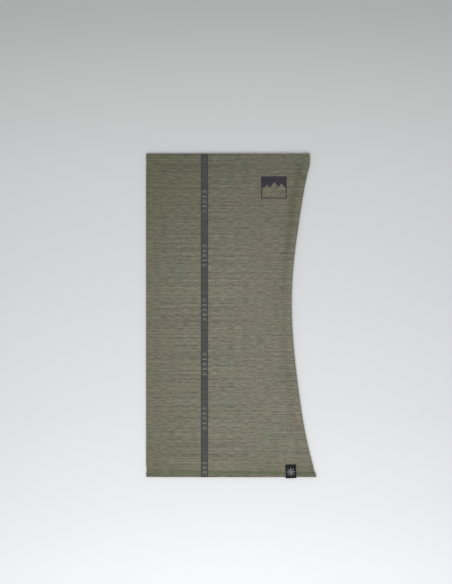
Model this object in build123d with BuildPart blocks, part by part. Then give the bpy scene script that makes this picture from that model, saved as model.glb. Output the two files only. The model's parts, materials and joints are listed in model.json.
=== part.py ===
"""Neck gaiter: a knitted merino tube lying flat, seam side at +X, top hem at +Y, front face up."""

from build123d import *

import os

os.makedirs("parts", exist_ok=True)

# ---- driving dimensions, mm -------------------------------------------------

HEIGHT = 480.0  # bottom hem to top hem
BOTTOM_WIDTH = 253.3  # laid flat, half the way round
WAIST_WIDTH = 216.3
TOP_WIDTH = 243.4
LOFT = 9.0  # front face to back face as it lies
CLOTH = 0.9  # one layer of jersey
BOTTOM_HEM = 10.4
TOP_HEM = 14.6
FOLD_GAP = 0.3  # kept clear on each side of the line it folds in half on

PRINT = 0.15  # transfer film
STRIPE_FROM_LEFT = 81.3
STRIPE_WIDTH = 10.8
MARK = 0.1
MARK_LENGTH = 4.9  # along the stripe
MARK_WIDTH = 6.0
MARK_STROKE = 1.5
MARK_PITCH = 7.2
MARKS_IN_GROUP = 5
GROUP_PITCH = 80.4
FIRST_GROUP = 7.1  # middle of the lowest group above the bottom hem

BADGE_FROM_LEFT = 170.5
BADGE_WIDTH = 38.1
BADGE_BOTTOM = 413.3  # above the bottom hem
BADGE_SKY = 429.6
BADGE_TOP = 446.0
BADGE_LINE = 1.4
BADGE_PEAKS = [(-0.27, 6.0), (0.02, 9.5), (0.29, 7.5)]  # place across, in badge widths, and height
PEAK_SLOPE = 1.25

TAG_FROM_LEFT = 206.8
TAG_WIDTH = 15.8
TAG_ABOVE = 19.2  # above the bottom hem
TAG_BELOW = 1.6
TAG_INNER = 7.0  # the leaf inside the tube
TAG_LEAF = 0.35
TAG_YARN = 0.1
STAR_ABOVE = 8.1  # middle of the woven star, above the bottom hem
STAR_HALF = ["....X....", ".X..X..X.", "..X.X.X..", "...XXX...", "XXXX.XXXX"]  # the lower half mirrors it
STAR_CELL = 1.38
FLOAT_WIDTH = 1.27  # the yarn that shows in one cell
TACK_PITCH = 2.1
TACK = 1.5
TACKS = 6
TACK_INSET = 1.4

ALLOWANCE = 7.0  # width of the seam allowance inside
THREAD = 0.25
THREAD_WIDTH = 0.45
STITCH = 2.8
STITCH_PITCH = 4.0
STITCH_INSET = 1.6  # from the cut edge inside the hem
LOOPER_SLANT = 30.0  # degrees
LOOP_PITCH = 4.0
LOOP_REACH = 5.5  # how far a loop goes over the allowance

LABEL_LENGTH = 38.0
LABEL_WIDTH = 26.0
LABEL = 0.5
LABEL_ABOVE = 52.0  # its middle above the bottom hem
LABEL_INSET = 5.0  # its sewn end, in from the seam edge
LABEL_LIFT = 0.4  # clear of the back layer

# ---- worked out from them ---------------------------------------------------

LEFT = -BOTTOM_WIDTH / 2
BOTTOM = -(HEIGHT - TAG_BELOW) / 2  # the tag counts when the origin is centred
TOP = BOTTOM + HEIGHT
FOLD_Y = (BOTTOM + TOP) / 2
MIDDLE = LOFT / 2  # half way between the faces
PAST = 6.0  # how far cutting blocks run past the mouths
HAIR = 0.02  # the least clearance
FLAT_LEFT = 0.05  # half of what a rim's rounding leaves flat
BOTTOM_STITCH_Y = BOTTOM + BOTTOM_HEM - STITCH_INSET
TOP_STITCH_Y = TOP - TOP_HEM + STITCH_INSET
EDGE_CLEAR = 7.0  # stitches stop this far from the rounded edges


def seam_edge_points(inset=0.0):
    """Points of the seam edge, from the bottom hem to where the straight top hem begins."""
    shape = [
        (BOTTOM_WIDTH, 0.0),
        (240.4, 47.0),
        (229.6, 106.0),
        (222.2, 165.0),
        (217.9, 212.0),
        (WAIST_WIDTH, 256.0),
        (218.0, 302.0),
        (223.0, 348.0),
        (230.6, 402.0),
        (TOP_WIDTH - 0.3, HEIGHT - TOP_HEM),
    ]
    return [(LEFT + across - inset, BOTTOM + up) for across, up in shape]


SEAM_EDGE = Spline(*seam_edge_points())


def seam_at(y):
    """Where the seam edge is at this height, and the way it runs there."""
    low, high = 0.0, 1.0
    for _ in range(30):
        half = (low + high) / 2
        if (SEAM_EDGE @ half).Y < y:
            low = half
        else:
            high = half
    return (SEAM_EDGE @ half).X, SEAM_EDGE % half


def tube_block(inset, y_low, y_high):
    """The flat tube filled solid, inset all round, between two heights."""
    points = seam_edge_points(inset)
    top_right = LEFT + TOP_WIDTH - inset
    with BuildPart() as block:
        with BuildSketch(Plane.XY.offset(inset)):
            with BuildLine():
                lower = Line((points[0][0], BOTTOM - PAST), points[0])
                edge = Spline(*points)
                upper = Line(edge @ 1, (top_right, TOP + PAST))
                Polyline(upper @ 1, (LEFT + inset, TOP + PAST), (LEFT + inset, BOTTOM - PAST), lower @ 0)
            make_face()
        extrude(amount=LOFT - 2 * inset)
        rims = block.edges().filter_by(Axis.X, reverse=True).filter_by(Axis.Z, reverse=True)
        fillet(rims, radius=MIDDLE - inset - FLAT_LEFT)
        with Locations((0, (y_low + y_high) / 2, MIDDLE)):
            Box(2 * BOTTOM_WIDTH, y_high - y_low, 2 * LOFT, mode=Mode.INTERSECT)
    return block.part


def cloth_layer(inset, y_low, y_high):
    """One layer of cloth all round the tube, between two heights."""
    with BuildPart() as layer:
        add(tube_block(inset, y_low, y_high))
        add(tube_block(inset + CLOTH, y_low - 1, y_high + 1), mode=Mode.SUBTRACT)
    return layer.part


def stitch_places(y):
    """x of each stitch of a row across the tube, clear of its rounded edges."""
    first = LEFT + EDGE_CLEAR
    count = int((seam_at(y)[0] - EDGE_CLEAR - first) / STITCH_PITCH)
    return [first + STITCH_PITCH * (i + 0.5) for i in range(count)]


def keep(piece, name):
    """Names a finished piece and writes it."""
    piece.part.label = name
    export_step(piece.part, f"parts/{name}.step")


# ---- the knitted tube: one panel in life, parted here at the fold line -------


def make_fabric(name, y_low, y_high, stitch_y):
    """Half of the tube, with a sunk line on both faces for the hem's stitches."""
    places = stitch_places(stitch_y)
    row = places[-1] - places[0] + STITCH_PITCH
    middle = (places[-1] + places[0]) / 2
    with BuildPart() as fabric:
        add(cloth_layer(0.0, y_low, y_high))
        with Locations((middle, stitch_y, THREAD / 2), (middle, stitch_y, LOFT - THREAD / 2)):
            Box(row, THREAD_WIDTH, THREAD, mode=Mode.SUBTRACT)
    keep(fabric, name)


make_fabric("lower_fabric", BOTTOM, FOLD_Y - FOLD_GAP, BOTTOM_STITCH_Y)
make_fabric("upper_fabric", FOLD_Y + FOLD_GAP, TOP, TOP_STITCH_Y)

# ---- hems: the cloth turned in once, and the cover stitch that holds it ------


def make_hem(name, y_low, y_high):
    """The turned-in band, against the inside of the tube all round."""
    with BuildPart() as hem:
        add(cloth_layer(CLOTH, y_low, y_high))
    keep(hem, name)


def make_thread_row(name, y, levels, slant):
    """One short bar of thread per stitch, at each of these levels."""
    with BuildPart() as thread:
        for level in levels:
            with BuildSketch(Plane.XY.offset(level)):
                with Locations(*[(x, y) for x in stitch_places(y)]):
                    SlotOverall(STITCH, THREAD_WIDTH, rotation=slant)
            extrude(amount=THREAD)
    keep(thread, name)


make_hem("bottom_hem_allowance", BOTTOM, BOTTOM + BOTTOM_HEM)
make_hem("top_hem_allowance", TOP - TOP_HEM, TOP)

outside = [0.0, LOFT - THREAD]
inside = [2 * CLOTH, LOFT - 2 * CLOTH - THREAD]
make_thread_row("bottom_hem_needle_thread", BOTTOM_STITCH_Y, outside, 0.0)
make_thread_row("top_hem_needle_thread", TOP_STITCH_Y, outside, 0.0)
make_thread_row("bottom_hem_looper_thread", BOTTOM_STITCH_Y, inside, LOOPER_SLANT)
make_thread_row("top_hem_looper_thread", TOP_STITCH_Y, inside, LOOPER_SLANT)

# ---- side seam: two cut edges turned inside and overlocked together ----------


def make_seam_allowance(name, y_low, y_high):
    """Two plies of cloth standing in from the seam edge, half way between the faces."""
    with BuildPart() as allowance:
        with BuildSketch(Plane.XY.offset(MIDDLE - CLOTH)):
            with BuildLine():
                outer = Spline(*seam_edge_points())
                free_edge = Spline(*seam_edge_points(CLOTH + ALLOWANCE))
                Line(outer @ 0, free_edge @ 0)
                Line(outer @ 1, free_edge @ 1)
            make_face()
        extrude(amount=2 * CLOTH)
        add(tube_block(CLOTH, y_low, y_high), mode=Mode.INTERSECT)
    keep(allowance, name)


def make_overlock(name, y_low, y_high):
    """Loops of thread round the free edge of the allowance."""
    with BuildPart() as thread:
        for i in range(int((y_high - y_low) / LOOP_PITCH)):
            y = y_low + LOOP_PITCH * (i + 0.5)
            x, way = seam_at(y)
            start = (x - CLOTH - ALLOWANCE, y, MIDDLE)
            across = (way.Y, -way.X, 0)
            with BuildSketch(Plane(start, x_dir=across, z_dir=way)):
                with Locations((-HAIR - THREAD, 0)):
                    Rectangle(LOOP_REACH, 2 * (CLOTH + THREAD), align=(Align.MIN, Align.CENTER))
                with Locations((-HAIR, 0)):
                    Rectangle(LOOP_REACH, 2 * CLOTH, align=(Align.MIN, Align.CENTER), mode=Mode.SUBTRACT)
            extrude(amount=THREAD_WIDTH / 2, both=True)
    keep(thread, name)


seam_low = BOTTOM + BOTTOM_HEM
seam_high = TOP - TOP_HEM
make_seam_allowance("side_seam_allowance_lower", seam_low, FOLD_Y - FOLD_GAP)
make_seam_allowance("side_seam_allowance_upper", FOLD_Y + FOLD_GAP, seam_high)
make_overlock("side_seam_overlock_thread_lower", seam_low, FOLD_Y - FOLD_GAP)
make_overlock("side_seam_overlock_thread_upper", FOLD_Y + FOLD_GAP, seam_high)

# ---- transfer prints on the front --------------------------------------------

stripe_middle = LEFT + STRIPE_FROM_LEFT + STRIPE_WIDTH / 2


def make_stripe(name, y_low, y_high):
    """The printed band that runs up the front from hem to hem."""
    with BuildPart() as stripe:
        with BuildSketch(Plane.XY.offset(LOFT)):
            with Locations((stripe_middle, (y_low + y_high) / 2)):
                Rectangle(STRIPE_WIDTH, y_high - y_low)
        extrude(amount=PRINT)
    keep(stripe, name)


def make_marks(name, y_low, y_high):
    """Groups of plain chevrons between bars, repeated up the stripe."""
    half = MARK_WIDTH / 2
    low = -MARK_LENGTH / 2
    peak = MARK_LENGTH / 2 - MARK_STROKE
    chevron = [(-half, low), (0, peak), (half, low)]
    chevron += [(x, y + MARK_STROKE) for x, y in reversed(chevron)]
    first = FIRST_GROUP - MARK_PITCH * (MARKS_IN_GROUP - 1) / 2
    with BuildPart() as marks:
        with BuildSketch(Plane.XY.offset(LOFT + PRINT)):
            for group in range(int(HEIGHT / GROUP_PITCH) + 2):
                for mark in range(MARKS_IN_GROUP):
                    y = BOTTOM + first + group * GROUP_PITCH + mark * MARK_PITCH
                    with Locations((stripe_middle, y)):
                        if mark % 2:
                            Rectangle(MARK_WIDTH, MARK_STROKE)
                        else:
                            Polygon(*chevron, align=None)
            with Locations((stripe_middle, (y_low + y_high) / 2)):
                Rectangle(STRIPE_WIDTH, y_high - y_low, mode=Mode.INTERSECT)
        extrude(amount=MARK)
    keep(marks, name)


make_stripe("stripe_print_lower", BOTTOM, FOLD_Y - FOLD_GAP)
make_stripe("stripe_print_upper", FOLD_Y + FOLD_GAP, TOP)
make_marks("stripe_marks_lower", BOTTOM, FOLD_Y - FOLD_GAP)
make_marks("stripe_marks_upper", FOLD_Y + FOLD_GAP, TOP)

# a dark sky over a thin-lined frame, with three peaks standing between them
badge_middle = LEFT + BADGE_FROM_LEFT + BADGE_WIDTH / 2
badge_low = BOTTOM + BADGE_BOTTOM
sky_low = BOTTOM + BADGE_SKY
badge_high = BOTTOM + BADGE_TOP

with BuildPart() as badge_print:
    with BuildSketch(Plane.XY.offset(LOFT)):
        with Locations((badge_middle, (badge_low + badge_high) / 2)):
            Rectangle(BADGE_WIDTH, badge_high - badge_low)
        with Locations((badge_middle, (badge_low + sky_low) / 2)):
            inner_height = sky_low - badge_low - 2 * BADGE_LINE
            Rectangle(BADGE_WIDTH - 2 * BADGE_LINE, inner_height, mode=Mode.SUBTRACT)
        for across, peak in BADGE_PEAKS:
            foot = sky_low - BADGE_LINE
            x = badge_middle + across * BADGE_WIDTH
            half = peak / PEAK_SLOPE
            Polygon((x - half, foot), (x, foot + peak), (x + half, foot), align=None, mode=Mode.SUBTRACT)
    extrude(amount=PRINT)
keep(badge_print, "badge_print")

# ---- woven tag folded round the front of the bottom hem -----------------------

tag_middle = LEFT + TAG_FROM_LEFT + TAG_WIDTH / 2
tag_low = BOTTOM - TAG_BELOW
tag_high = BOTTOM + TAG_ABOVE
tag_face = LOFT + TAG_LEAF
tag_back = LOFT - 2 * CLOTH - TAG_LEAF

with BuildPart() as hem_tag:
    with BuildSketch(Plane.YZ.offset(tag_middle)) as folded:
        with Locations((tag_low, tag_back)):
            Rectangle(tag_high - tag_low, tag_face - tag_back, align=Align.MIN)
        fillet(folded.vertices().group_by(Axis.X)[0], radius=TAG_BELOW / 2)
        with Locations((tag_low + TAG_LEAF, tag_back + TAG_LEAF)):
            Rectangle(tag_high - tag_low, 2 * CLOTH, align=Align.MIN, mode=Mode.SUBTRACT)
        with Locations((BOTTOM + TAG_INNER, tag_back)):
            Rectangle(TAG_ABOVE, TAG_LEAF, align=Align.MIN, mode=Mode.SUBTRACT)
    extrude(amount=TAG_WIDTH / 2, both=True)
keep(hem_tag, "hem_tag")

# the star is woven, so it is made of short floats of yarn, one to a cell
star_rows = STAR_HALF + STAR_HALF[-2::-1]
star_middle = len(star_rows) // 2
star_cells = [
    ((column - star_middle) * STAR_CELL, (star_middle - row) * STAR_CELL)
    for row, cells in enumerate(star_rows)
    for column, cell in enumerate(cells)
    if cell == "X"
]

with BuildPart() as hem_tag_pattern:
    with BuildSketch(Plane((tag_middle, BOTTOM + STAR_ABOVE, tag_face))):
        with Locations(*star_cells):
            Rectangle(FLOAT_WIDTH, FLOAT_WIDTH)
    extrude(amount=TAG_YARN)
keep(hem_tag_pattern, "hem_tag_pattern")

with BuildPart() as hem_tag_stitching:
    with BuildSketch(Plane((tag_middle, tag_high - TACK_INSET, tag_face))):
        with GridLocations(TACK_PITCH, 1, TACKS, 1):
            SlotOverall(TACK, THREAD_WIDTH)
    extrude(amount=THREAD)
keep(hem_tag_stitching, "hem_tag_stitching")

# ---- care label, sewn into the side seam inside the tube ----------------------

label_seam, label_way = seam_at(BOTTOM + LABEL_ABOVE)
label_start = Vector(label_seam - LABEL_INSET, BOTTOM + LABEL_ABOVE, CLOTH + LABEL_LIFT)
label_inward = (-label_way.Y, label_way.X, 0)

with BuildPart() as care_label:
    with BuildSketch(Plane(label_start, x_dir=label_inward, z_dir=(0, 0, 1))):
        Rectangle(LABEL_LENGTH, LABEL_WIDTH, align=(Align.MIN, Align.CENTER))
    extrude(amount=LABEL)
    folded_end = care_label.faces().sort_by(Axis.X)[0]
    fillet(folded_end.edges().filter_by(Axis.Z, reverse=True), radius=LABEL / 2 - HAIR)
keep(care_label, "care_label")

print("care label hinge at", label_start + Vector(0, 0, LABEL / 2), "along", label_way)
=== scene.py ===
# %% [markdown]
# # A knitted neck gaiter, lying flat
#
# The real thing is one panel of melange merino jersey. It is folded down the left side, overlocked up the
# curved right side, and turned in once at each hem. A stripe and a badge are printed on the front, and a
# woven tag is folded round the bottom hem. This lesson builds it round a fixed frame: the frame holds the
# sizes and the fold line, and every piece here takes its place from it.

# %% Load the frame
import json
import math

import bpy
import numpy as np
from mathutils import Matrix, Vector, noise

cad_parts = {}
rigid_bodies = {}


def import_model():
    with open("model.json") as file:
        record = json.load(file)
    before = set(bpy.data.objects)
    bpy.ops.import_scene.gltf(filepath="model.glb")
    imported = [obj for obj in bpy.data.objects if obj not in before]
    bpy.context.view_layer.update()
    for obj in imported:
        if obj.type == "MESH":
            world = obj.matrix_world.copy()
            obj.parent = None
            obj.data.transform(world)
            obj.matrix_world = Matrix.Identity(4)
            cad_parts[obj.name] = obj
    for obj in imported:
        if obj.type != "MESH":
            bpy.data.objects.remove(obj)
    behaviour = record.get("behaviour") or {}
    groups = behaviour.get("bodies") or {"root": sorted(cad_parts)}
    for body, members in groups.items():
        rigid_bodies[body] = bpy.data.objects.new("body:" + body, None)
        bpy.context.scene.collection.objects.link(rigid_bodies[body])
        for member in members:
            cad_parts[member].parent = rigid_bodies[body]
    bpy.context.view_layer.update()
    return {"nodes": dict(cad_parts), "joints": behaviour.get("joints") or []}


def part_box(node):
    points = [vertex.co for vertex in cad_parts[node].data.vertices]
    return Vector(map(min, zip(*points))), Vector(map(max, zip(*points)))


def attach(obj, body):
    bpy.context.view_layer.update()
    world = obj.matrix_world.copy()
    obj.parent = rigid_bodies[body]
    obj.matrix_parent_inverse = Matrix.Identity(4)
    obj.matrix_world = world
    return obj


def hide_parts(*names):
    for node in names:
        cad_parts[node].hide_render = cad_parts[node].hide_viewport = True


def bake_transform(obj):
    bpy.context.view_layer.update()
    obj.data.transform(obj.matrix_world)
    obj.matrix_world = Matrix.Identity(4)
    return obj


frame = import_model()
MM = 0.001

# %% [markdown]
# ## Sizes taken from the frame
#
# A garment maker works from a paper pattern. Here the pattern is the frame's own solids: their corners give
# the fold edge, both hems, the stripe and the tag, and the hinge gives the line that the tube folds on.
# Only what is too fine for the frame, such as the radius of the folded cloth, is chosen here.

# %% Edges, hems and the fold line
LEFT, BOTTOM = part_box("lower_fabric")[0].x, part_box("lower_fabric")[0].y
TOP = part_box("upper_fabric")[1].y
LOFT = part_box("lower_fabric")[1].z
BOTTOM_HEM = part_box("bottom_hem_allowance")[1].y - BOTTOM
TOP_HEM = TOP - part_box("top_hem_allowance")[0].y
BOTTOM_STITCH = sum(corner.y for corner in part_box("bottom_hem_needle_thread")) / 2
TOP_STITCH = sum(corner.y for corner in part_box("top_hem_needle_thread")) / 2
FOLD = next(joint for joint in frame["joints"] if joint["name"] == "fold_in_half")
FOLD_Y, FOLD_Z = FOLD["pos_m"][1:]
CLOTH = 0.9 * MM  # one layer of jersey
TURN = 0.5 * MM  # radius of the cloth's middle where a hem turns in
print("height, mm:", round((TOP - BOTTOM) / MM, 1), "fold line at", round(FOLD_Y / MM, 2))

# %% [markdown]
# The seam edge is a curve that only the frame's solids know. Their outermost points are picked out and a
# smooth polynomial is run through them, so the cloth follows the cut without any facets.

# %% The seam edge as a smooth curve
def outermost_points():
    found = []
    for name in ("lower_fabric", "upper_fabric"):
        for vertex in frame["nodes"][name].data.vertices:
            if vertex.co.x > 0 and abs(vertex.co.z - LOFT / 2) < 0.2 * MM and vertex.co.y < TOP - TOP_HEM:
                found.append((vertex.co.y, vertex.co.x))
    return np.array(found)


edge_points = outermost_points()
middle_line = np.polyfit(edge_points[:, 0], edge_points[:, 1], 6)
outside = edge_points[edge_points[:, 1] > np.polyval(middle_line, edge_points[:, 0])]
EDGE_CURVE = np.polyfit(outside[:, 0], outside[:, 1], 7)
TOP_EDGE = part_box("upper_fabric")[1].x


def seam_edge(y):
    """x of the seam edge at a height; the top hem is cut straight."""
    y = np.asarray(y, float)
    return np.where(y < TOP - TOP_HEM, np.polyval(EDGE_CURVE, y), TOP_EDGE)


WAIST = 16 * MM  # the height at which the tube is narrowest
for place, y in (("bottom", BOTTOM), ("waist", WAIST), ("top", TOP)):
    print("width at the", place, "in mm:", round(float(seam_edge(y) - LEFT) / MM, 1))

# %% [markdown]
# ## The shape of cloth at rest
#
# A flat tube isn't a box. The cloth turns tightly at the fold edge, swells a little where the two layers
# trap air, and is pinched again at the seam, where four layers of cloth are stitched together. At its open
# ends the front layer comes down. One function for the height of the front layer and one for the back are
# all that the whole garment needs, because hems, prints and stitches sit on them.

# %% Heights of the two layers
FOLD_RADIUS = 1.6 * MM  # of the cloth's middle, at the fold edge
SEAM_DEPTH = 2.3 * MM  # half the height of the seam edge, between the middles of the layers
SEAM_REACH = 1.9 * MM  # how far the seam edge bulges out
GROOVE = 1.0 * MM  # how far the stitches pull the seam line in
GROOVE_SHARE = 0.3  # of the height of the seam edge
FRONT_LEVEL = LOFT - CLOTH / 2 - 0.45 * MM  # leaves the slow waves room below the frame's top
FOLD_RISE = 30 * MM  # how far from an edge the front layer reaches its full height
SEAM_RISE = 34 * MM
WAVE = 95 * MM  # length of the slow waves that the hand leaves in the cloth
SWELL = 0.8 * MM
CREASE = 0.9 * MM  # how far the front layer sinks beside the seam allowance
CREASE_PLACE = 17 * MM  # from the seam edge
CREASE_WIDTH = 6 * MM
CREASE_FADE = 160 * MM  # the crease is lost towards the bottom hem, where the tube opens
BOTTOM_MOUTH = 5.0 * MM  # the front layer comes down to here at the open ends
TOP_MOUTH = 4.2 * MM
MOUTH_RISE = 38 * MM
MOUTH_WAVE = 0.6 * MM  # and its edge isn't quite straight there
BACK_LIFT = 0.3 * MM  # the most that the back layer lies off the floor
FRONT_SEED, BACK_SEED, MOUTH_SEED = 1.7, 8.3, 4.9  # each picks a different set of waves


def smooth(t):
    t = np.clip(t, 0, 1)
    return t * t * (3 - 2 * t)


def waves(x, y, seed):
    """A slow unevenness from -1 to 1, the same on every run."""
    x, y = np.broadcast_arrays(np.asarray(x, float), np.asarray(y, float))
    values = [noise.noise((a / WAVE, b / WAVE, seed)) for a, b in zip(x.ravel(), y.ravel())]
    return np.array(values).reshape(x.shape)


def front_height(x, y):
    """z of the middle of the front layer."""
    from_fold = np.clip(x - LEFT, 0, None)
    from_seam = np.clip(seam_edge(y) - x, 0, None)
    fold_level = CLOTH / 2 + 2 * FOLD_RADIUS
    seam_level = CLOTH / 2 + 2 * SEAM_DEPTH
    from_mouth = np.minimum(y - BOTTOM, TOP - y)
    mouth = BOTTOM_MOUTH if y < FOLD_Y else TOP_MOUTH
    mouth = mouth + MOUTH_WAVE * waves(1.7 * x, 0.2 * y, MOUTH_SEED)
    level = FRONT_LEVEL - (FRONT_LEVEL - mouth) * (1 - smooth(from_mouth / MOUTH_RISE))
    height = level + SWELL * waves(x, y, FRONT_SEED)
    height = height - (level - fold_level) * (1 - smooth(from_fold / FOLD_RISE))
    height = height - (level - seam_level) * (1 - smooth(from_seam / SEAM_RISE))
    crease = np.exp(-(((from_seam - CREASE_PLACE) / CREASE_WIDTH) ** 2))
    return height - CREASE * crease * smooth((y - BOTTOM) / CREASE_FADE)


def back_height(x, y):
    """z of the middle of the back layer, which the floor holds nearly flat."""
    inside = smooth((x - LEFT) / FOLD_RISE) * smooth((seam_edge(y) - x) / SEAM_RISE)
    return CLOTH / 2 + BACK_LIFT * inside * (0.5 + waves(x, y, BACK_SEED))


# %% [markdown]
# ## The round of the tube at one height
#
# Round the tube, the cloth runs from the seam groove over the front to the fold, and back under to the
# groove. The columns are set where something happens, close together at the fold and the seam, and evenly
# spaced between. Left of the stripe they keep their distance from the fold edge; right of it they fan out
# with the seam edge.

# %% One section of the tube
stripe_low, stripe_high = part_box("stripe_print_lower")
COLUMN = 3.2 * MM
FAN = stripe_high.x + 20 * MM  # right of here the columns spread with the seam edge
FAN_COLUMNS = 34
FOLD_STEPS = 8
SEAM_STEPS = 9
FOLD_X = LEFT + CLOTH / 2 + FOLD_RADIUS
FOLD_CENTRE = CLOTH / 2 + FOLD_RADIUS


def spaced(start, end, step):
    """Points from start towards end, about a step apart, without the end."""
    return np.linspace(start, end, max(2, round(abs(end - start) / step) + 1))[:-1]


BEFORE_STRIPE = spaced(FOLD_X, stripe_low.x, COLUMN)
ON_STRIPE = spaced(stripe_low.x, stripe_high.x, COLUMN)
BEFORE_FAN = spaced(stripe_high.x, FAN, COLUMN)


def flat_columns(y):
    """x of the columns across one layer, from the fold to the seam edge."""
    last = float(seam_edge(y)) - CLOTH / 2 - SEAM_REACH
    return np.concatenate([BEFORE_STRIPE, ON_STRIPE, BEFORE_FAN, np.linspace(FAN, last, FAN_COLUMNS)])


def section(y):
    """(x, z) round the tube at height y, from the seam groove, over the front and under the back."""
    across = flat_columns(y)
    front, back = front_height(across, y), back_height(across, y)
    middle, reach = (front[-1] + back[-1]) / 2, (front[-1] - back[-1]) / 2
    turn = np.linspace(0, math.pi / 2, SEAM_STEPS + 1)[:-1]
    groove = GROOVE * np.exp(-((np.sin(turn) / GROOVE_SHARE) ** 2))
    edge_x = across[-1] + SEAM_REACH * np.cos(turn) - groove
    edge_z = reach * np.sin(turn)
    fold = np.linspace(math.pi / 2, 3 * math.pi / 2, 2 * FOLD_STEPS + 1)[1:-1]
    fold_x = FOLD_X + FOLD_RADIUS * np.cos(fold)
    fold_z = FOLD_CENTRE + FOLD_RADIUS * np.sin(fold)
    xs = np.concatenate([edge_x, across[::-1], fold_x, across, edge_x[:0:-1]])
    zs = np.concatenate([middle + edge_z, front[::-1], fold_z, back, middle - edge_z[:0:-1]])
    return xs, zs


LAYER = len(flat_columns(0.0))
print("columns round the tube:", len(section(0.0)[0]), "of which in front:", LAYER)

# %% [markdown]
# ## Rows, with the hems turned in
#
# Along the tube, the cloth starts at a cut edge inside the bottom hem, turns round the hem, runs the whole
# height, turns again and ends inside the top hem. Each row is a height and a depth below the outer layer.
# A film printed on the cloth follows the same path a hair further out, which is why the path takes a lift.

# %% The path of the cloth from cut edge to cut edge
ROW = 3.0 * MM
INNER_ROW = 2.0 * MM  # of the layers turned in
BEND = 28 * MM  # how much of the height goes into folding in half
BEND_ROW = 1.3 * MM  # rows are closer there
STITCH_ROW = 0.5 * MM  # and closest beside a row of stitches
STITCH_ZONE = 2 * MM
EDGE_ROW = 1.2 * MM  # in the hems
TURN_STEPS = 8


def outer_heights(low, high):
    """Heights of the rows of the outer layer, closer where the cloth bends or is stitched."""
    stops = [low, BOTTOM_STITCH - STITCH_ZONE, BOTTOM_STITCH + STITCH_ZONE, FOLD_Y - BEND / 2]
    stops += [FOLD_Y + BEND / 2, TOP_STITCH - STITCH_ZONE, TOP_STITCH + STITCH_ZONE, high]
    steps = [EDGE_ROW, STITCH_ROW, ROW, BEND_ROW, ROW, STITCH_ROW, EDGE_ROW]
    return np.concatenate([spaced(a, b, step) for a, b, step in zip(stops, stops[1:], steps)])


def cloth_rows(lift=0.0):
    """Rows (y, depth) of the cloth, or of a film lifted off its face, and the first and last outer row."""
    low, high = BOTTOM + CLOTH / 2 + TURN, TOP - CLOTH / 2 - TURN
    inside, radius = 2 * TURN + lift, TURN + lift
    low_inner = [(y, inside) for y in spaced(BOTTOM + BOTTOM_HEM, low, INNER_ROW)]
    high_inner = [(y, inside) for y in spaced(TOP - TOP_HEM, high, INNER_ROW)][::-1]
    turn = np.linspace(0, math.pi, TURN_STEPS + 1)
    low_turn = [(low - radius * math.sin(t), TURN + radius * math.cos(t)) for t in turn[:-1]]
    high_turn = [(high + radius * math.sin(t), TURN - radius * math.cos(t)) for t in turn]
    outer = [(y, -lift) for y in outer_heights(low, high)]
    rows = low_inner + low_turn + outer + high_turn + high_inner
    return rows, len(low_inner), len(rows) - len(high_inner) - 1


print("rows from cut edge to cut edge:", len(cloth_rows()[0]))

# %% [markdown]
# Where a hem is stitched down, the thread pulls the cloth in and leaves a shallow valley with a soft ridge
# on each side. It is this line, more than the thread itself, that shows from a distance.

# %% Points on the cloth
BOTTOM_PULL = 0.85 * MM
TOP_PULL = 0.35 * MM
VALLEY = 4.0 * MM  # half the width of the valley


def hem_pull(y):
    """How far the stitches pull the cloth in at a height. The hem stands up a little beyond them."""
    at_bottom = (y - BOTTOM - BOTTOM_HEM) / VALLEY
    at_top = (y - TOP + TOP_HEM) / VALLEY
    return BOTTOM_PULL * math.exp(-(at_bottom**2)) + TOP_PULL * math.exp(-(at_top**2))


def cloth_points(lift=0.0):
    """Points (rows, columns, 3) of the whole cloth, or of a surface lifted off its face."""
    points = []
    for y, depth in cloth_rows(lift)[0]:
        xs, zs = section(min(max(y, BOTTOM), TOP))
        dx, dz = np.roll(xs, -1) - np.roll(xs, 1), np.roll(zs, -1) - np.roll(zs, 1)
        inward = (depth + hem_pull(y)) / np.hypot(dx, dz)
        points.append(np.stack([xs - dz * inward, np.full_like(xs, y), zs + dx * inward], axis=1))
    return np.array(points)


cloth = cloth_points()
_, OUTER_FIRST, OUTER_LAST = cloth_rows()
print("cloth grid", cloth.shape, "up to", round(cloth[..., 2].max() / MM, 2), "mm high")

# %% [markdown]
# ## From points to pieces of cloth
#
# A grid of points becomes a mesh of square faces. Each corner of a face also gets a place in a map called
# Cloth, in metres across and along the cloth, so that the yarn pattern lies on the cloth and goes with it
# when it folds. The map breaks at the seam, as the real pattern does. Solidify then gives the cloth its
# thickness, half to each side of the grid.

# %% Helpers: choose one piece, add and apply a modifier, build a grid
def choose(*pieces):
    """Selects these pieces and nothing else."""
    for other in bpy.context.scene.objects:
        other.select_set(False)
    for piece in pieces:
        piece.select_set(True)
    bpy.context.view_layer.objects.active = pieces[0]


def apply(piece, kind, **settings):
    """Adds a modifier with these settings and applies it."""
    choose(piece)
    modifier = piece.modifiers.new(kind.title(), kind)
    for name, value in settings.items():
        setattr(modifier, name, value)
    bpy.ops.object.modifier_apply(modifier=modifier.name)
    return piece


def lengths(points, axis):
    """How far along the grid each point is, summed along one axis of it."""
    steps = np.linalg.norm(np.diff(points, axis=axis), axis=2)
    zero = np.zeros_like(np.take(steps, [0], axis=axis))
    return np.concatenate([zero, np.cumsum(steps, axis=axis)], axis=axis)


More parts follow.
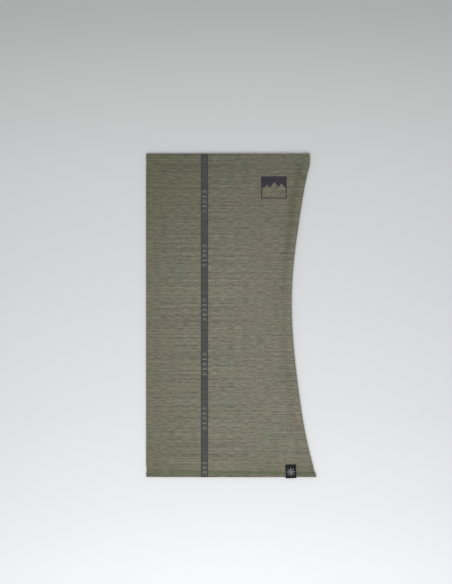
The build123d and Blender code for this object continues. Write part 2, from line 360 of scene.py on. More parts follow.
def cloth_mesh(name, points, closed=False, zero=0, start=0.0):
    """A piece from a grid of points; closed joins its last column to its first. Its Cloth map, in metres,
    counts across from column zero, and along from start."""
    rows, columns = points.shape[:2]
    wide = np.concatenate([points, points[:, :1]], axis=1) if closed else points
    across, along = lengths(wide, 1), lengths(wide, 0)[:, :1] + start
    across = across - across[:, zero : zero + 1]
    faces, corners = [], []
    for r in range(rows - 1):
        for c in range(wide.shape[1] - 1):
            ring = [(r, c), (r + 1, c), (r + 1, c + 1), (r, c + 1)]
            faces.append([i * columns + j % columns for i, j in ring])
            corners += [(across[i, j], along[i, 0]) for i, j in ring]
    mesh = bpy.data.meshes.new(name)
    mesh.from_pydata(points.reshape(-1, 3).tolist(), [], faces)
    layer = mesh.uv_layers.new(name="Cloth")
    layer.data.foreach_set("uv", np.array(corners, np.float32).ravel())
    piece = bpy.data.objects.new(name, mesh)
    bpy.context.scene.collection.objects.link(piece)
    choose(piece)
    bpy.ops.object.shade_smooth()
    print(name, "has", len(faces), "faces in its grid")
    return piece


# %% [markdown]
# ## The jersey tube
#
# On the real gaiter the turned-in hems are the same cloth as the tube. Here they are pieces of their own
# that start where the outer piece ends, so that each can be looked at alone. They meet edge to edge.

# %% Jersey tube and its two hem allowances
FOLD_COLUMN = SEAM_STEPS + LAYER + FOLD_STEPS - 1
along = lengths(cloth, 0)[:, FOLD_COLUMN]
shared = {"closed": True, "zero": FOLD_COLUMN}
outer_rows = cloth[OUTER_FIRST : OUTER_LAST + 1]
jersey_tube = cloth_mesh("jersey_tube", outer_rows, start=along[OUTER_FIRST], **shared)
bottom_hem = cloth_mesh("bottom_hem_turned_in", cloth[: OUTER_FIRST + 1], **shared)
top_hem = cloth_mesh("top_hem_turned_in", cloth[OUTER_LAST:], start=along[OUTER_LAST], **shared)
for piece in (jersey_tube, bottom_hem, top_hem):
    apply(piece, "SOLIDIFY", thickness=CLOTH, offset=0)
    print(piece.name, "has", len(piece.data.polygons), "faces with its thickness")

# %% [markdown]
# Shade is painted into the jersey's colour. There is a darker, greener band beside the seam allowance, in
# the hem beyond its stitches, along the seam edge and at the top edge, and a slow painted shade fades in
# from the fold edge and from both ends. How much of it a point gets is worked out from its place and kept on
# the mesh as an attribute, for the finish to read.

# %% Painted shade, from 0 to 1, on every point of the jersey
# Painted shade in soft bands: beside the seam allowance, at the seam edge, in the bottom hem and at the top
# edge.
ALLOWANCE_SHADE = (12.8 * MM, 4.8 * MM, 0.75)  # where it is, in from its edge, how wide and how deep
SEAM_EDGE_SHADE = (0.0, 1.4 * MM, 0.2)
BOTTOM_HEM_SHADE = (6.4 * MM, 3.5 * MM, 0.72)
TOP_EDGE_SHADE = (1.2 * MM, 1.2 * MM, 0.35)
FADE_LOW, FADE_HIGH = 170 * MM, 30 * MM  # the allowance's band fades towards the hems
FULL_FROM, FULL_BY, HALF = 20 * MM, 140 * MM, 0.45  # and is only strong in the upper half
# Slow painted shade that fades in from the fold edge, from the top end and from the bottom end.
FOLD_SIDE_SHADE = (130 * MM, 0.42)  # slow changes: how far in from an edge they reach, and how deep they are
TOP_END_SHADE = (220 * MM, 0.55)
BOTTOM_END_SHADE = (75 * MM, 0.26)


def band(distance, place, width, depth):
    """A soft band at a distance from an edge."""
    return depth * np.exp(-(((distance - place) / width) ** 2))


def side(distance, reach, depth):
    """A slow change that starts at an edge."""
    return depth * (1 - smooth(distance / reach))


def painted_shade_at(x, y):
    """How much painted shade darkens the cloth at a place."""
    from_seam = seam_edge(y) - x
    upper = HALF + (1 - HALF) * smooth((y - FULL_FROM) / (FULL_BY - FULL_FROM))
    upper = upper * smooth((y - BOTTOM) / FADE_LOW) * smooth((TOP - y) / FADE_HIGH)
    seam = band(from_seam, *ALLOWANCE_SHADE) * upper + band(from_seam, *SEAM_EDGE_SHADE)
    hems = band(y - BOTTOM, *BOTTOM_HEM_SHADE) + band(TOP - y, *TOP_EDGE_SHADE)
    slow = side(x - LEFT, *FOLD_SIDE_SHADE) + side(TOP - y, *TOP_END_SHADE) + side(y - BOTTOM, *BOTTOM_END_SHADE)
    return np.clip(seam + hems + slow, 0, 1)


def keep_painted_shade(piece):
    places = np.array([vertex.co[:] for vertex in piece.data.vertices])
    attribute = piece.data.attributes.new("Depth", "FLOAT", "POINT")
    values = painted_shade_at(places[:, 0], places[:, 1])
    attribute.data.foreach_set("value", values.astype(np.float32))
    print(piece.name, "strongest_painted_shade", round(float(values.max()), 2))


for piece in (jersey_tube, bottom_hem, top_hem):
    keep_painted_shade(piece)

# %% [markdown]
# ## The printed stripe
#
# The stripe is a soft ink film, printed before the hems were turned, so it goes round both hem edges and
# a little way inside. It could be painted in the cloth's material, but as a film of its own it has an edge
# that catches light, and it can be recoloured or left off.

# %% Stripe film
FILM_LIFT = 0.05 * MM  # ink sits in the cloth's face, and this keeps the two faces apart
FILM = 0.06 * MM
lifted = cloth_points(CLOTH / 2 + FILM_LIFT)
first = SEAM_STEPS + LAYER - 1 - len(BEFORE_STRIPE) - len(ON_STRIPE)
stripe_points = lifted[:, first : first + len(ON_STRIPE) + 1]
printed_stripe = cloth_mesh("printed_stripe", stripe_points)
apply(printed_stripe, "SOLIDIFY", thickness=FILM, offset=1)
stripe_width = stripe_points[0, :, 0].max() - stripe_points[0, :, 0].min()
print("stripe is", round(stripe_width / MM, 2), "mm wide")

# %% [markdown]
# ## Marks on the stripe
#
# Groups of five plain marks repeat up the stripe: chevrons, with bars between them. One bar and one chevron
# are modelled from a plane by moving its middle up, then copied into place and pressed onto the cloth with
# Shrinkwrap, which drops every point straight down until it meets the surface.

# %% Helpers: join copies, and press a flat piece onto the cloth
def copy_to(piece, place, turn=0.0, tilt=0.0):
    """A copy with its own mesh, turned about Z and tilted about Y, and then moved."""
    copy = piece.copy()
    copy.data = piece.data.copy()
    bpy.context.scene.collection.objects.link(copy)
    copy.rotation_euler = (0, tilt, turn)
    copy.location = place
    return copy


def join(name, pieces):
    """Makes one piece of many and puts its place into its mesh."""
    choose(*pieces)
    if len(pieces) > 1:
        bpy.ops.object.join()
    bpy.ops.object.transform_apply(location=True, rotation=True, scale=True)
    joined = bpy.context.view_layer.objects.active
    joined.name = joined.data.name = name
    print(name, "is", len(joined.data.polygons), "faces")
    return joined


def press_on(piece, lift, thickness, target=jersey_tube):
    """Drops a flat piece onto the cloth from above, lifted a little, and gives it its thickness."""
    apply(piece, "SHRINKWRAP", target=target, wrap_method="PROJECT", use_project_z=True,
          use_positive_direction=False, use_negative_direction=True, offset=lift)
    apply(piece, "SOLIDIFY", thickness=thickness, offset=1)
    choose(piece)
    bpy.ops.object.shade_smooth_by_angle(angle=math.radians(40))
    return piece


def patch(name, size, squares, place=(0, 0, 0)):
    """A flat rectangle at its place, of so many squares each way."""
    wide, high = squares
    bpy.ops.mesh.primitive_grid_add(x_subdivisions=wide, y_subdivisions=high, size=1, location=place)
    made = bpy.context.object
    made.name = name
    made.scale = (size[0], size[1], 1)
    bpy.ops.object.transform_apply(location=False, rotation=False, scale=True)
    return made


# %% One bar, one chevron
MARK_WIDTH = 6.0 * MM
MARK_STROKE = 1.5 * MM
MARK_LENGTH = 4.9 * MM
MARK_PITCH = 7.2 * MM
MARKS_IN_GROUP = 5
GROUP_PITCH = 80.4 * MM
FIRST_GROUP = 7.1 * MM  # middle of the lowest group, above the bottom hem
ABOVE = LOFT + 5 * MM  # flat pieces are made here, over the cloth, and pressed down
stripe_x = (stripe_low.x + stripe_high.x) / 2


def move_points(piece, where, by):
    """In edit mode, moves the vertices for which where(co) is true."""
    choose(piece)
    bpy.ops.object.mode_set(mode="EDIT")
    bpy.ops.mesh.select_all(action="DESELECT")
    bpy.ops.object.mode_set(mode="OBJECT")
    for vertex in piece.data.vertices:
        vertex.select = where(vertex.co)
    bpy.ops.object.mode_set(mode="EDIT")
    bpy.ops.transform.translate(value=by)
    bpy.ops.object.mode_set(mode="OBJECT")


bar = patch("bar", (MARK_WIDTH, MARK_STROKE), (4, 1))
chevron = patch("chevron", (MARK_WIDTH, MARK_STROKE), (2, 1))
rise = MARK_LENGTH - MARK_STROKE
move_points(chevron, lambda co: abs(co.x) < 0.1 * MM, (0, rise / 2, 0))
move_points(chevron, lambda co: abs(co.x) > 0.1 * MM, (0, -rise / 2, 0))

# %% All the marks
marks = []
lowest = BOTTOM + FIRST_GROUP - MARK_PITCH * (MARKS_IN_GROUP - 1) / 2
for group in range(int((TOP - BOTTOM) / GROUP_PITCH) + 2):
    for number in range(MARKS_IN_GROUP):
        y = lowest + group * GROUP_PITCH + number * MARK_PITCH
        if BOTTOM + MARK_LENGTH < y < TOP - MARK_LENGTH:
            marks.append(copy_to(bar if number % 2 else chevron, (stripe_x, y, ABOVE)))
stripe_marks = press_on(join("stripe_marks", marks), 2 * FILM_LIFT + FILM, FILM)
bpy.data.objects.remove(bar)
bpy.data.objects.remove(chevron)

# %% [markdown]
# ## The badge
#
# The badge is a transfer print near the top of the seam side: a dark sky over three peaks, in a thin frame.
# The sky is a grid whose lower edge is moved to the line of the peaks; the frame is three thin bars, at both
# sides and the foot.

# %% Sky and frame of the badge
badge_low, badge_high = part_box("badge_print")
BADGE_LINE = 1.4 * MM
SKY_DEPTH = 16.4 * MM
PEAKS = ((-0.27, 6.0), (0.02, 9.5), (0.29, 7.5))  # place across, in widths of the badge, and height in mm
SLOPE = 1.25  # of the peaks' sides
badge_x = (badge_low.x + badge_high.x) / 2
badge_width = badge_high.x - badge_low.x
sky_floor = badge_high.y - SKY_DEPTH - BADGE_LINE


def ridge(x):
    """Height of the peaks above the foot of the sky at a place across the badge."""
    rises = [height * MM - SLOPE * abs(x - badge_x - place * badge_width) for place, height in PEAKS]
    return max(BADGE_LINE, *rises)


sky = patch("sky", (badge_width, 1.0), (76, 8), (badge_x, 0, ABOVE))
for vertex in sky.data.vertices:
    foot = sky_floor + ridge(badge_x + vertex.co.x)
    vertex.co.y = foot + (vertex.co.y + 0.5) * (badge_high.y - foot)
side_low, side_high = badge_low.y + BADGE_LINE, badge_high.y - SKY_DEPTH
side_size, side_y = (BADGE_LINE, side_high - side_low), (side_low + side_high) / 2
badge_pieces = [
    sky,
    patch("bar", side_size, (1, 10), (badge_low.x + BADGE_LINE / 2, side_y, ABOVE)),
    patch("bar", side_size, (1, 10), (badge_high.x - BADGE_LINE / 2, side_y, ABOVE)),
    patch("bar", (badge_width, BADGE_LINE), (24, 1), (badge_x, badge_low.y + BADGE_LINE / 2, ABOVE)),
]
badge = press_on(join("badge", badge_pieces), 2 * FILM_LIFT, FILM)

# %% [markdown]
# ## The woven tag
#
# The tag is one short piece of woven ribbon, folded round the bottom hem, with a long leaf in front and a
# short one inside. It is a sheet like the jersey, so it is made in the same way, from the line that it
# follows: up the inside, round the hem, and up the front. It was sewn on by hand, a little askew.

# %% Tag
tag_low, tag_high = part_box("hem_tag")
TAG = 0.35 * MM  # thickness of the ribbon
TAG_GAP = 0.03 * MM
TAG_INNER = 7.0 * MM
TAG_SKEW = math.radians(2.0)
TAG_COLUMNS = 16
TAG_ROW = 1 * MM
tag_middle = (tag_low.x + tag_high.x) / 2
tag_width = tag_high.x - tag_low.x


def tag_line():
    """(y, depth) of the ribbon's middle, from the end inside the hem to the end in front."""
    radius = TURN + CLOTH / 2 + TAG_GAP + TAG / 2
    turn_y = tag_low.y + TAG / 2 + radius
    inside = [(y, TURN + radius) for y in spaced(BOTTOM + TAG_INNER, turn_y, TAG_ROW)]
    angles = np.linspace(0, math.pi, 13)
    turn = [(turn_y - radius * math.sin(t), TURN + radius * math.cos(t)) for t in angles]
    front = [(y, TURN - radius) for y in spaced(turn_y, tag_high.y, TAG_ROW)][1:]
    return inside + turn + front + [(tag_high.y, TURN - radius)]


def askew(across, y):
    """A place on the tag, so far across from its middle and at a height, turned by the skew."""
    up = y - (tag_high.y + BOTTOM) / 2
    x = tag_middle + across * math.cos(TAG_SKEW) - up * math.sin(TAG_SKEW)
    return x, y + across * math.sin(TAG_SKEW)


def tag_points():
    points = []
    for line_y, depth in tag_line():
        row = []
        for across in np.linspace(tag_width / 2, -tag_width / 2, TAG_COLUMNS + 1):
            x, y = askew(across, line_y)
            row.append((x, y, float(front_height(x, max(y, BOTTOM))) - depth))
        points.append(row)
    return np.array(points)


hem_tag = cloth_mesh("woven_hem_tag", tag_points())
tag_length = float(lengths(tag_points(), 0)[-1, 0])
apply(hem_tag, "SOLIDIFY", thickness=TAG, offset=0)
print("tag is", round(tag_width / MM, 1), "by", round(tag_length / MM, 1), "mm before folding")

# %% [markdown]
# A star is woven into the front leaf in lighter yarn. Weaving can only draw in steps of whole threads, so
# the star is made of small square floats, one for each cell of a grid, and both halves are the same.

# %% Star woven into the tag
STAR = ("....X....", ".X..X..X.", "..X.X.X..", "...XXX...", "XXXX.XXXX")  # the lower half mirrors it
FLOAT = 1.38 * MM
FLOAT_SIZE = 1.27 * MM  # a float doesn't quite fill its cell
FLOAT_HIGH = 0.1 * MM
STAR_ABOVE = 8.1 * MM  # its middle, above the bottom hem
star_rows = STAR + STAR[-2::-1]
floats = []
for r, row in enumerate(star_rows):
    for c, cell in enumerate(row):
        if cell == "X":
            x, y = askew((c - 4) * FLOAT, BOTTOM + STAR_ABOVE + (4 - r) * FLOAT)
            floats.append(patch("float", (FLOAT_SIZE, FLOAT_SIZE), (2, 1), (x, y, ABOVE)))
tag_star = press_on(join("tag_star", floats), 0.0, FLOAT_HIGH, target=hem_tag)

# %% [markdown]
# ## Stitches
#
# A coverstitch holds each hem: a thread outside that shows as short straight stitches, and a looper thread
# inside that zigzags beneath it. A stitch is a thread that comes up, lies on the cloth and dives again,
# which is the shape of a thin grain of rice. One is made from a sphere and copied along both layers.

# %% One stitch, and a row of them
THREAD = 0.22 * MM  # radius of the thread
SUNK = 0.06 * MM  # how far the thread is pulled into the face of the cloth
STITCH = 2.8 * MM
STITCH_PITCH = 4.0 * MM
EDGE_CLEAR = 7.0 * MM
LOOPER_SLANT = math.radians(30)


def stitch(length):
    """A thread's visible run: thickest in the middle, diving at both ends."""
    bpy.ops.mesh.primitive_uv_sphere_add(segments=8, ring_count=6, radius=1, rotation=(0, math.pi / 2, 0))
    made = bpy.context.object
    made.scale = (THREAD, THREAD, length / 2)
    bpy.ops.object.transform_apply(location=False, rotation=True, scale=True)
    bpy.ops.object.shade_smooth()
    return made


def stitch_row(name, y, depth, slants, without=(0.0, 0.0)):
    """Stitches along the front and the back layer at a height, so deep in the cloth, with a gap in x."""
    one, copies = stitch(STITCH), []
    for x in np.arange(LEFT + EDGE_CLEAR, float(seam_edge(y)) - EDGE_CLEAR, STITCH_PITCH):
        for height, outward in ((front_height, 1), (back_height, -1)):
            slope = float(height(x + MM, y) - height(x - MM, y)) / (2 * MM)
            z = float(height(x, y)) - outward * (depth + hem_pull(y))
            if outward > 0 and without[0] < x < without[1]:
                continue
            for number, slant in enumerate(slants):
                shift = (number - (len(slants) - 1) / 2) * STITCH_PITCH / len(slants)
                copies.append(copy_to(one, (x + shift, y, z + slope * shift), slant, -math.atan(slope)))
    bpy.data.objects.remove(one)
    return join(name, copies)


ON_FACE = -CLOTH / 2 + SUNK
INSIDE_HEM = 2 * TURN + CLOTH / 2 - SUNK
zigzag = (LOOPER_SLANT, -LOOPER_SLANT)
under_tag = (tag_low.x, tag_high.x)
bottom_needle = stitch_row("bottom_hem_stitches", BOTTOM_STITCH, ON_FACE, (0.0,), under_tag)
top_needle = stitch_row("top_hem_stitches", TOP_STITCH, ON_FACE, (0.0,))
bottom_looper = stitch_row("bottom_hem_looper", BOTTOM_STITCH, INSIDE_HEM, zigzag, under_tag)
top_looper = stitch_row("top_hem_looper", TOP_STITCH, INSIDE_HEM, zigzag)

# %% Tacks that hold the tag
TACK_PITCH = 2.1 * MM
TACK = 1.5 * MM
tack_low, tack_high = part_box("hem_tag_stitching")
tack, tacks = stitch(TACK), []
tack_y = (tack_low.y + tack_high.y) / 2
for middle in np.arange(tack_low.x + TACK_PITCH / 2, tack_high.x, TACK_PITCH):
    x, y = askew(middle - tag_middle, tack_y)
    z = float(front_height(x, y)) + CLOTH / 2 + TAG_GAP + TAG
    tacks.append(copy_to(tack, (x, y, z), TAG_SKEW))
bpy.data.objects.remove(tack)
tag_tacks = join("tag_tacks", tacks)

# %% [markdown]
# ## Inside the side seam
#
# Nobody sees this unless they look into the tube: the two cut edges lie together, 7 mm wide, and an overlock
# thread is looped round them every few millimetres. It is what makes the seam edge thicker than the fold.

# %% Seam allowance
ALLOWANCE_IN = 2.2 * MM  # where it leaves the seam, in from the seam edge
ALLOWANCE = 7.0 * MM
ALLOWANCE_ROW = 4.0 * MM
ALLOWANCE_RISE = 0.15 * MM  # its free edge lies a little higher than the seam, over the care label
ALLOWANCE_WAVE = 0.12 * MM
PLY_GAP = 0.04 * MM
seam_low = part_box("side_seam_allowance_lower")[0].y
seam_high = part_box("side_seam_allowance_upper")[1].y


def allowance_point(y, t):
    """A point on the middle of the allowance, from t = 0 at the seam to 1 at its free edge."""
    x = float(seam_edge(y)) - ALLOWANCE_IN - ALLOWANCE * t
    wave = ALLOWANCE_WAVE * math.sin(3 * t + y / (9 * MM))
    return (x, y, CLOTH / 2 + SEAM_DEPTH + ALLOWANCE_RISE * t - wave)


row_count = round((seam_high - seam_low) / ALLOWANCE_ROW)
seam_rows = np.linspace(seam_low + CLOTH / 2, seam_high - CLOTH / 2, row_count)
allowance_grid = np.array([[allowance_point(y, t) for t in np.linspace(0, 1, 8)] for y in seam_rows])
plies = []
for side in (1, -1):
    ply = cloth_mesh("ply", allowance_grid + [0, 0, side * (CLOTH + PLY_GAP) / 2])
    plies.append(apply(ply, "SOLIDIFY", thickness=CLOTH, offset=0))
seam_allowance = join("side_seam_allowance", plies)

# %% Overlock loops
LOOP_PITCH = 4.0 * MM
LOOP_REACH = 2.7 * MM  # half the length of a loop
LOOP_HIGH = CLOTH + 0.15 * MM  # half its height: it holds two plies
LOOP_THREAD = 0.13  # thickness of its thread, as a share of the loop
LOOP_WIDE = 1.6 * MM  # the thread is fluffy, and spreads along the edge
LOOP_OVER = 0.3 * MM  # how far it reaches past the cut edge
LOOP_TILT = 0.1
bpy.ops.mesh.primitive_torus_add(major_segments=16, minor_segments=5, major_radius=1,
                                 minor_radius=LOOP_THREAD, rotation=(math.pi / 2, 0, 0))
loop = bpy.context.object
loop.scale = (LOOP_REACH, LOOP_HIGH, LOOP_WIDE)
bpy.ops.object.transform_apply(location=False, rotation=True, scale=True)
bpy.ops.object.shade_smooth()
loops = []
for y in np.arange(seam_rows[0] + LOOP_PITCH / 2, seam_rows[-1], LOOP_PITCH):
    x, _, z = allowance_point(y, 1)
    z = z + LOOP_TILT * LOOP_REACH
    loops.append(copy_to(loop, (x + LOOP_REACH - LOOP_OVER, y, z), 0.0, LOOP_TILT))
bpy.data.objects.remove(loop)
overlock = join("side_seam_overlock", loops)

# %% [markdown]
# ## Care label
#
# A folded satin ribbon is caught in the side seam. It is left blank. Two leaves and the fold between them
# are one sheet again, laid out from the label's own hinge in the frame.

# %% Folded satin label
LABEL_JOINT = next(joint for joint in frame["joints"] if joint["name"] == "care_label_flap")
LABEL_SIZE = (38 * MM, 26 * MM)  # from the seam, and along it
LABEL_LEAF = 0.14 * MM
LABEL_GAP = 0.26 * MM  # between the middles of the leaves
LABEL_ROW = 2.0 * MM
label_base, label_along = Vector(LABEL_JOINT["pos_m"]), Vector(LABEL_JOINT["axis"]).normalized()
label_inward = Vector((-label_along.y, label_along.x, 0))
half_gap = LABEL_GAP / 2
straight = LABEL_SIZE[0] - half_gap
out = [(d, -half_gap) for d in spaced(0, straight, LABEL_ROW)]
angles = np.linspace(0, math.pi, 7)
label_turn = [(straight + half_gap * math.sin(t), -half_gap * math.cos(t)) for t in angles]
home = [(d, half_gap) for d, _ in out[::-1]]
label_grid = []
for distance, height in out + label_turn + home:
    row = []
    for across in np.linspace(-0.5, 0.5, 9) * LABEL_SIZE[1]:
        point = label_base + label_inward * distance + label_along * across
        row.append(point + Vector((0, 0, height)))
    label_grid.append(row)
label_grid = np.array(label_grid)
care_label = cloth_mesh("care_label_ribbon", label_grid)
apply(care_label, "SOLIDIFY", thickness=LABEL_LEAF, offset=0)

# %% [markdown]
# ## Finishes
#
# Every finish below is a set of nodes. Colours are written as sRGB hex, as a paint chart gives them, and
# turned linear by one function. A second function adds a node with its settings and links. On cloth, the
# patterns read the Cloth map, which is in metres, so a scale is simply one over a real length.

# %% Helpers: colour, node, new material
def linear(code):
    """A linear colour from sRGB hex."""
    parts = [int(code[i : i + 2], 16) / 255 for i in (1, 3, 5)]
    return [c / 12.92 if c <= 0.04045 else ((c + 0.055) / 1.055) ** 2.4 for c in parts] + [1.0]


def add(material, kind, values, links=None):
    """Adds a node. values are its inputs or settings by name, and links join sockets to its inputs."""
    node = material.node_tree.nodes.new("ShaderNode" + kind)
    for name, value in values.items():
        if name == "stops":
            while len(node.color_ramp.elements) < len(value):
                node.color_ramp.elements.new(0.5)
            for element, (place, colour) in zip(node.color_ramp.elements, value):
                element.position, element.color = place, linear(colour)
        elif isinstance(name, int) or name in node.inputs:
            node.inputs[name].default_value = value
        else:
            setattr(node, name, value)
    for name, socket in (links or {}).items():
        material.node_tree.links.new(socket, node.inputs[name])
    return node


def surface(name, values, links=None):
    """A new material and its Principled shader, with these values."""
    material = bpy.data.materials.new(name)
    material.use_nodes = True
    material.node_tree.nodes.clear()
    shader = add(material, "BsdfPrincipled", values, links)
    add(material, "OutputMaterial", {}, {"Surface": shader.outputs["BSDF"]})
    return material, shader


def on_cloth(material, across, along):
    """The Cloth map, stretched so that one pattern step is so wide and so long, in metres."""
    place = add(material, "UVMap", {"uv_map": "Cloth"})
    scale = (1 / across, 1 / along, 1)
    return add(material, "Mapping", {"Scale": scale}, {"Vector": place.outputs["UV"]}).outputs["Vector"]


def blotches(material, across, along, detail=2.0, roughness=0.5):
    """Noise from 0 to 1 with patches so wide and so long on the cloth."""
    values = {"noise_dimensions": "2D", "Scale": 1.0, "Detail": detail, "Roughness": roughness}
    return add(material, "TexNoise", values, {"Vector": on_cloth(material, across, along)}).outputs["Fac"]


def weighted(material, base, *parts):
    """base plus each pattern's difference from its middle, times its weight."""
    total = base - sum(weight for _, weight in parts) / 2
    for pattern, weight in parts:
        values, links = {"operation": "MULTIPLY_ADD", 1: weight}, {0: pattern}
        if isinstance(total, float):
            values[2] = total
        else:
            links[2] = total
        total = add(material, "Math", values, links).outputs[0]
    return total


def finish_by(material, shader, colour, tone, strength, distance):
    """Makes a colour lighter and darker by a tone, and lets the tone stand up from the surface as well."""
    values, links = {"operation": "SCALE"}, {"Scale": tone}
    if isinstance(colour, str):
        values[0] = linear(colour)[:3]
    else:
        links[0] = colour
    toned = add(material, "VectorMath", values, links)
    material.node_tree.links.new(toned.outputs["Vector"], shader.inputs["Base Color"])
    bump = add(material, "Bump", {"Strength": strength, "Distance": distance}, {"Height": tone})
    material.node_tree.links.new(bump.outputs["Normal"], shader.inputs["Normal"])


# %% [markdown]
# Melange jersey is knitted from yarn whose fibres were dyed before spinning, some pale and some dark, so
# each row of knitting carries short darker and lighter streaks that run across the cloth. Three things make
# the look: streaks about a centimetre long and two rows high, whole rows that differ a little, and slow
# patches where the olive leans to green or to brown. The rows of a real one are 0.8 mm high; they are drawn
# twice as high here, or they would be lost from this distance. Wool scatters light softly, hence the sheen.

# %% Merino jersey
STREAK = (11 * MM, 2.1 * MM)
KNIT_ROW = (170 * MM, 1.7 * MM)
PATCH = (70 * MM, 45 * MM)
FLECK = (3.2 * MM, 1.5 * MM)

wool, wool_shader = surface("merino_jersey_melange_knit", {
    "Roughness": 0.92, "Specular IOR Level": 0.2, "Sheen Weight": 0.18, "Sheen Roughness": 0.6,
    "Sheen Tint": linear("#c9c8b8"),
})
streaks = blotches(wool, *STREAK, detail=1.5)
rows_tone = blotches(wool, *KNIT_ROW, detail=1.0)
flecks = blotches(wool, *FLECK, detail=1.0)
HUE_STOPS = [(0.3, "#7a7a69"), (0.5, "#7d7a6a"), (0.7, "#7f7a6b")]
hue = add(wool, "ValToRGB", {"stops": HUE_STOPS}, {"Fac": blotches(wool, *PATCH)})
tone = weighted(wool, 1.0, (streaks, 0.85), (rows_tone, 0.75), (flecks, 0.5))
# Painted shade: the attribute kept on the jersey's points darkens the colour, and greens it, through this
# ramp.
depth = add(wool, "Attribute", {"attribute_name": "Depth"})
PAINTED_SHADE_STOPS = [(0.0, "#ffffff"), (1.0, "#d7dcd0")]
painted_shade_tint = add(wool, "ValToRGB", {"stops": PAINTED_SHADE_STOPS}, {"Fac": depth.outputs["Fac"]})
links = {0: hue.outputs["Color"], 1: painted_shade_tint.outputs["Color"]}
dyed = add(wool, "VectorMath", {"operation": "MULTIPLY"}, links)
finish_by(wool, wool_shader, dyed.outputs["Vector"], tone, 0.35, 0.35 * MM)

# %% [markdown]
# ## Printed inks
#
# The stripe and the badge are water-based ink pressed into the knit, so the streaks of the yarn still show
# through, only weaker. The marks on the stripe are a paler ink. All are a little smoother than wool.

# %% Inks
def ink(name, code, shows, roughness):
    """Ink on the cloth, through which the knit's streaks and rows show."""
    material, shader = surface(name, {"Roughness": roughness, "Specular IOR Level": 0.3})
    place = add(material, "TexCoord", {})
    parts = []
    for across, along in (STREAK, KNIT_ROW):
        scale = (1 / across, 1 / along, 1)
        mapped = add(material, "Mapping", {"Scale": scale}, {"Vector": place.outputs["Object"]})
        values = {"noise_dimensions": "2D", "Scale": 1.0, "Detail": 1.0}
        parts.append(add(material, "TexNoise", values, {"Vector": mapped.outputs["Vector"]}).outputs["Fac"])
    tone = weighted(material, 1.0, (parts[0], shows), (parts[1], shows))
    finish_by(material, shader, code, tone, 0.25, 0.3 * MM)
    return material


stripe_ink = ink("water_based_ink_screen_printed", "#4f4f4b", 0.6, 0.85)
mark_ink = ink("pale_ink_screen_printed", "#83837e", 0.6, 0.8)
badge_ink = ink("transfer_film_heat_pressed", "#36353a", 0.5, 0.75)


# %% [markdown]
# ## Thread, ribbon and satin
#
# Sewing thread is spun polyester, matched to the wool. The tag is damask, a dense polyester weave with a
# slight gloss along its ribs. The care label is satin, whose long floats shine in one direction.

# %% Thread, tag and label
def woven(name, code, rib, depth, roughness, sheen):
    """Ribbon with ribs of a real height across its Cloth map."""
    material, shader = surface(name, {
        "Roughness": roughness, "Specular IOR Level": 0.2, "Sheen Weight": sheen, "Sheen Roughness": 0.4,
    })
    place = on_cloth(material, 4 * rib, rib)
    values = {"bands_direction": "Y", "Scale": math.pi / 10, "Distortion": 0.6}
    ribs = add(material, "TexWave", values, {"Vector": place})
    uneven = blotches(material, 3 * rib, rib)
    tone = weighted(material, 1.0, (ribs.outputs["Fac"], depth), (uneven, depth))
    finish_by(material, shader, code, tone, 0.5, 0.1 * MM)
    return material


def spun(name, code, twist):
    """Thread, whose twist shows as fine slanted lines."""
    material, shader = surface(name, {"Roughness": 0.75, "Sheen Weight": 0.2})
    place = add(material, "TexCoord", {})
    turned = add(material, "Mapping", {"Rotation": (0.4, 0.5, 0.6)}, {"Vector": place.outputs["Object"]})
    values = {"Scale": 1.0 / twist, "Distortion": 1.0}
    lines = add(material, "TexWave", values, {"Vector": turned.outputs["Vector"]})
    tone = weighted(material, 1.0, (lines.outputs["Fac"], 0.4))
    finish_by(material, shader, code, tone, 0.3, 0.05 * MM)
    return material


thread = spun("polyester_thread_spun", "#6f6f62", 0.5 * MM)
tag_thread = spun("polyester_thread_black_spun", "#2a2a2c", 0.5 * MM)
star_yarn = spun("polyester_yarn_grey_floated", "#868689", 0.4 * MM)
damask = woven("polyester_damask_woven", "#17171a", 0.9 * MM, 0.4, 0.75, 0.0)
satin = woven("polyester_satin_woven", "#dedbd2", 0.5 * MM, 0.08, 0.35, 0.3)

FINISH = {
    "merino_jersey": (wool, [jersey_tube, bottom_hem, top_hem, seam_allowance]),
    "sewing_thread": (thread, [bottom_needle, top_needle, bottom_looper, top_looper, overlock]),
    "stripe_ink": (stripe_ink, [printed_stripe]),
    "mark_ink": (mark_ink, [stripe_marks]),
    "badge_ink": (badge_ink, [badge]),
    "woven_tag": (damask, [hem_tag]),
    "tag_yarn": (star_yarn, [tag_star]),
    "tag_thread": (tag_thread, [tag_tacks]),
    "satin_label": (satin, [care_label]),
}
for slot, (material, pieces) in FINISH.items():
    for piece in pieces:
        piece.data.materials.clear()
        piece.data.materials.append(material)
print("finishes:", [material.name for material, _ in FINISH.values()])

# %% [markdown]
# ## Studio
#
# The gaiter lies on a wide sheet of pale paper, seen from straight above. The paper's colour carries painted
# shade: it goes from white at the foot to pale grey at the head, where the light falls off. One large soft
# light hangs over the foot end, and the room gives the rest.

# %% Paper floor
FLOOR_SIZE = 7.0
FLOOR_Z = -0.3 * MM  # the softest spots of the back layer sink this far
FADE_FOOT, FADE_HEAD = -0.40, 0.46
floor = join("paper_floor", [patch("floor", (FLOOR_SIZE, FLOOR_SIZE), (1, 1), (0, 0, FLOOR_Z))])
paper, paper_shader = surface("backdrop_paper_painted_shade", {"Roughness": 0.95, "Specular IOR Level": 0.1})
where = add(paper, "TexCoord", {})
apart = add(paper, "SeparateXYZ", {}, {"Vector": where.outputs["Object"]})
values = {"From Min": FADE_FOOT, "From Max": FADE_HEAD}
fade = add(paper, "MapRange", values, {"Value": apart.outputs["Y"]})
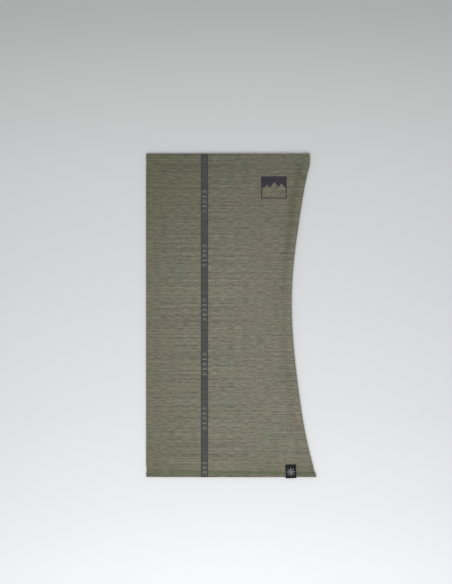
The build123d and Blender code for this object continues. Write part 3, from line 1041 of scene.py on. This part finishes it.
# Painted shade on the paper, white at the foot and greyer towards the head.
PAPER_SHADE_STOPS = [
    (0.02, "#fbfbfd"), (0.15, "#f2f2f3"), (0.30, "#ebebec"), (0.50, "#e6e6e7"),
    (0.70, "#e3e3e3"), (0.85, "#dbdcda"), (1.0, "#cccdcb"),
]
shade = add(paper, "ValToRGB", {"stops": PAPER_SHADE_STOPS}, {"Fac": fade.outputs["Result"]})
paper.node_tree.links.new(shade.outputs["Color"], paper_shader.inputs["Base Color"])
floor.data.materials.append(paper)

# %% Light, room and camera
LIGHT_AT = Vector((0.0, -0.40, 1.05))
bpy.ops.object.light_add(type="AREA", location=LIGHT_AT)
softbox = bpy.context.object
softbox.data.size = 1.1
softbox.data.energy = 9.0
softbox.rotation_euler = (Vector((0, 0, 0)) - LIGHT_AT).to_track_quat("-Z", "Y").to_euler()
softbox.visible_camera = False

room = bpy.data.worlds.new("pale_room")
room.use_nodes = True
air = room.node_tree.nodes["Background"]
air.inputs["Color"].default_value = linear("#f4f6fa")
air.inputs["Strength"].default_value = 0.42
bpy.context.scene.world = room
bpy.context.scene.view_settings.view_transform = "Standard"

AIM = Vector((-0.0081, 0.0356, LOFT))
FRAME_HEIGHT = 0.865  # what the camera sees, from top to bottom, at the front of the cloth
LENS, SENSOR = 100, 36
camera_data = bpy.data.cameras.new("camera")
camera_data.lens, camera_data.sensor_width = LENS, SENSOR
camera = bpy.data.objects.new("camera", camera_data)
camera.location = AIM + Vector((0, 0, FRAME_HEIGHT * LENS / SENSOR))
bpy.context.scene.collection.objects.link(camera)
bpy.context.scene.camera = camera

# %% [markdown]
# ## What each piece stands for, and what it moves with
#
# The tube folds in half across its waist. Pieces at one hem ride on that half. Each piece hides the frame's
# solids that it takes the place of.

# %% Pieces and the frame
LOWER, UPPER, FLAP = "lower_half", "upper_half", "label_flap"
RIDERS = {
    LOWER: {
        "bottom_hem_allowance": bottom_hem, "bottom_hem_needle_thread": bottom_needle,
        "bottom_hem_looper_thread": bottom_looper, "hem_tag": hem_tag, "hem_tag_pattern": tag_star,
        "hem_tag_stitching": tag_tacks,
    },
    UPPER: {
        "top_hem_allowance": top_hem, "top_hem_needle_thread": top_needle,
        "top_hem_looper_thread": top_looper, "badge_print": badge,
    },
}
for body, pieces in RIDERS.items():
    for node, piece in pieces.items():
        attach(piece, body)
        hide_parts(node)

FOLDING = {
    ("lower_fabric", "upper_fabric"): jersey_tube,
    ("stripe_print_lower", "stripe_print_upper"): printed_stripe,
    ("stripe_marks_lower", "stripe_marks_upper"): stripe_marks,
    ("side_seam_allowance_lower", "side_seam_allowance_upper"): seam_allowance,
    ("side_seam_overlock_thread_lower", "side_seam_overlock_thread_upper"): overlock,
}
for nodes, piece in FOLDING.items():
    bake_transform(piece)
    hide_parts(*nodes)

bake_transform(care_label)
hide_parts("care_label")

# %% The height of the cloth as cut
height = TOP - BOTTOM
